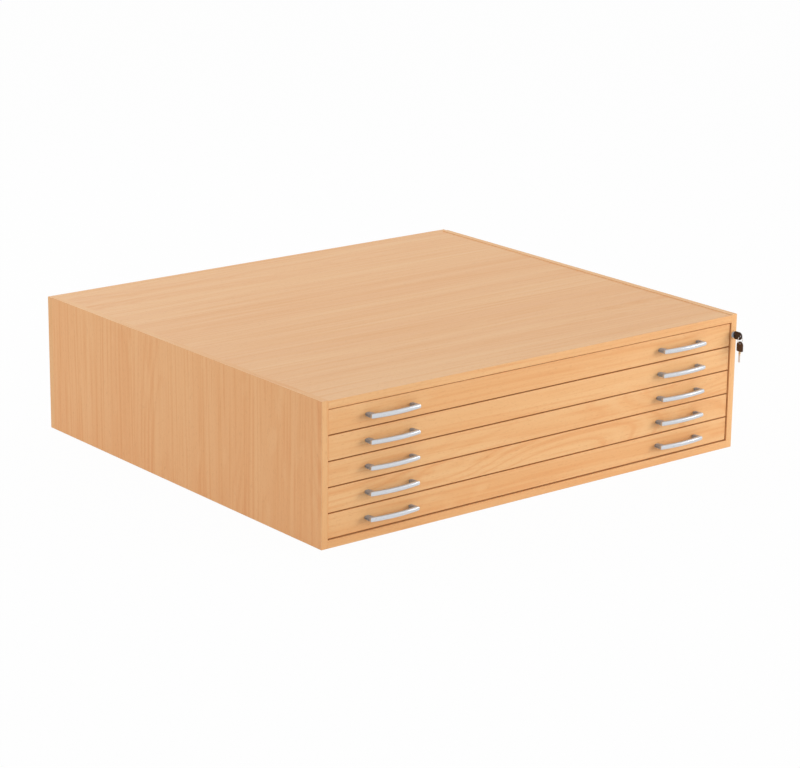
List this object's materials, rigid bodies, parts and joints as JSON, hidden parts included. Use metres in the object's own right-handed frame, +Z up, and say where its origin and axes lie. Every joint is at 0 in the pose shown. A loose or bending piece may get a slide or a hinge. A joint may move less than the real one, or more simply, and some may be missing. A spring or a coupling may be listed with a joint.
{
  "type": "plan chest",
  "caption": "Low, wide plan chest in beech-faced board with shallow drawers on telescopic slides, bow handles, and a side lock whose sliding bar secures every drawer.",
  "frame": {"origin": "on the floor, under the middle of the case's footprint", "axes": "+X to the right seen from the front, +Y to the back, +Z up; the drawers open towards -Y"},
  "size_m": [1.2902, 1.1835, 0.3465],
  "materials": {
    "beech_board": "satin melamine with a beech print",
    "drawer_board": "satin beech board",
    "base_board": "smooth thin board",
    "tongue_wood": "plain ply strip",
    "slide_steel": "zinc plated",
    "handle_satin": "satin silver",
    "lock_nickel": "satin nickel",
    "bar_aluminium": "mill finish",
    "key_metal": "nickel plated",
    "key_plastic": "dark brown moulded",
    "ring_wire": "bright wire"
  },
  "bodies": {
    "case": {"left_side_panel": "beech_board", "right_side_panel": "beech_board", "top_panel": "beech_board", "bottom_panel": "beech_board", "back_panel": "beech_board", "case_tongues": "tongue_wood", "left_case_rails": "slide_steel", "right_case_rails": "slide_steel", "lock_housing": "lock_nickel", "lock_bar_guides": "slide_steel"},
    "drawer_1": {"drawer_1_front": "beech_board", "drawer_1_sides": "drawer_board", "drawer_1_back": "drawer_board", "drawer_1_base": "base_board", "drawer_1_handles": "handle_satin", "drawer_1_rails": "slide_steel", "drawer_1_catch": "slide_steel"},
    "slide_1": {"middle_rails_1": "slide_steel"},
    "drawer_2": {"drawer_2_front": "beech_board", "drawer_2_sides": "drawer_board", "drawer_2_back": "drawer_board", "drawer_2_base": "base_board", "drawer_2_handles": "handle_satin", "drawer_2_rails": "slide_steel", "drawer_2_catch": "slide_steel"},
    "slide_2": {"middle_rails_2": "slide_steel"},
    "drawer_3": {"drawer_3_front": "beech_board", "drawer_3_sides": "drawer_board", "drawer_3_back": "drawer_board", "drawer_3_base": "base_board", "drawer_3_handles": "handle_satin", "drawer_3_rails": "slide_steel", "drawer_3_catch": "slide_steel"},
    "slide_3": {"middle_rails_3": "slide_steel"},
    "drawer_4": {"drawer_4_front": "beech_board", "drawer_4_sides": "drawer_board", "drawer_4_back": "drawer_board", "drawer_4_base": "base_board", "drawer_4_handles": "handle_satin", "drawer_4_rails": "slide_steel", "drawer_4_catch": "slide_steel"},
    "slide_4": {"middle_rails_4": "slide_steel"},
    "drawer_5": {"drawer_5_front": "beech_board", "drawer_5_sides": "drawer_board", "drawer_5_back": "drawer_board", "drawer_5_base": "base_board", "drawer_5_handles": "handle_satin", "drawer_5_rails": "slide_steel", "drawer_5_catch": "slide_steel"},
    "slide_5": {"middle_rails_5": "slide_steel"},
    "lock_plug": {"lock_plug": "lock_nickel"},
    "lock_bar": {"lock_bar": "bar_aluminium", "lock_bar_pegs": "slide_steel"},
    "key": {"key_blade": "key_metal", "key_head": "key_plastic"},
    "key_ring": {"key_ring": "ring_wire"},
    "spare_key": {"spare_key_blade": "key_metal", "spare_key_head": "key_plastic"}
  },
  "joints": [
    {"name": "drawer_1_slide", "type": "slide", "parent": "case", "child": "drawer_1", "axis": [0, -1, 0], "range_m": [0, 0.8]},
    {"name": "middle_rails_1_slide", "type": "slide", "parent": "case", "child": "slide_1", "axis": [0, -1, 0], "range_m": [0, 0.4]},
    {"name": "drawer_2_slide", "type": "slide", "parent": "case", "child": "drawer_2", "axis": [0, -1, 0], "range_m": [0, 0.8]},
    {"name": "middle_rails_2_slide", "type": "slide", "parent": "case", "child": "slide_2", "axis": [0, -1, 0], "range_m": [0, 0.4]},
    {"name": "drawer_3_slide", "type": "slide", "parent": "case", "child": "drawer_3", "axis": [0, -1, 0], "range_m": [0, 0.8]},
    {"name": "middle_rails_3_slide", "type": "slide", "parent": "case", "child": "slide_3", "axis": [0, -1, 0], "range_m": [0, 0.4]},
    {"name": "drawer_4_slide", "type": "slide", "parent": "case", "child": "drawer_4", "axis": [0, -1, 0], "range_m": [0, 0.8]},
    {"name": "middle_rails_4_slide", "type": "slide", "parent": "case", "child": "slide_4", "axis": [0, -1, 0], "range_m": [0, 0.4]},
    {"name": "drawer_5_slide", "type": "slide", "parent": "case", "child": "drawer_5", "axis": [0, -1, 0], "range_m": [0, 0.8]},
    {"name": "middle_rails_5_slide", "type": "slide", "parent": "case", "child": "slide_5", "axis": [0, -1, 0], "range_m": [0, 0.4]},
    {"name": "lock_turn", "type": "hinge", "parent": "case", "child": "lock_plug", "pos_m": [0.636, -0.575, 0.2943], "axis": [0, -1, 0], "range_deg": [0, 90]},
    {"name": "lock_bar_slide", "type": "slide", "parent": "case", "child": "lock_bar", "axis": [0, 0, -1], "range_m": [0, 0.00707]},
    {"name": "key_pull", "type": "slide", "parent": "lock_plug", "child": "key", "axis": [0, -1, 0], "range_m": [0, 0.03]},
    {"name": "key_ring_swing", "type": "hinge", "parent": "key", "child": "key_ring", "pos_m": [0.636, -0.5985, 0.2943], "axis": [1, 0, 0], "range_deg": [-60, 12]},
    {"name": "spare_key_hang", "type": "hinge", "parent": "key_ring", "child": "spare_key", "pos_m": [0.636, -0.5985, 0.2852], "axis": [0, -1, 0], "range_deg": [-90, 0]}
  ],
  "couplings": [
    {"joint": "middle_rails_1_slide", "follows": "drawer_1_slide", "ratio": 0.5},
    {"joint": "middle_rails_2_slide", "follows": "drawer_2_slide", "ratio": 0.5},
    {"joint": "middle_rails_3_slide", "follows": "drawer_3_slide", "ratio": 0.5},
    {"joint": "middle_rails_4_slide", "follows": "drawer_4_slide", "ratio": 0.5},
    {"joint": "middle_rails_5_slide", "follows": "drawer_5_slide", "ratio": 0.5},
    {"joint": "lock_turn", "follows": "lock_bar_slide", "rad_per_m": 222.14},
    {"joint": "spare_key_hang", "follows": "lock_bar_slide", "rad_per_m": -222.14}
  ]
}
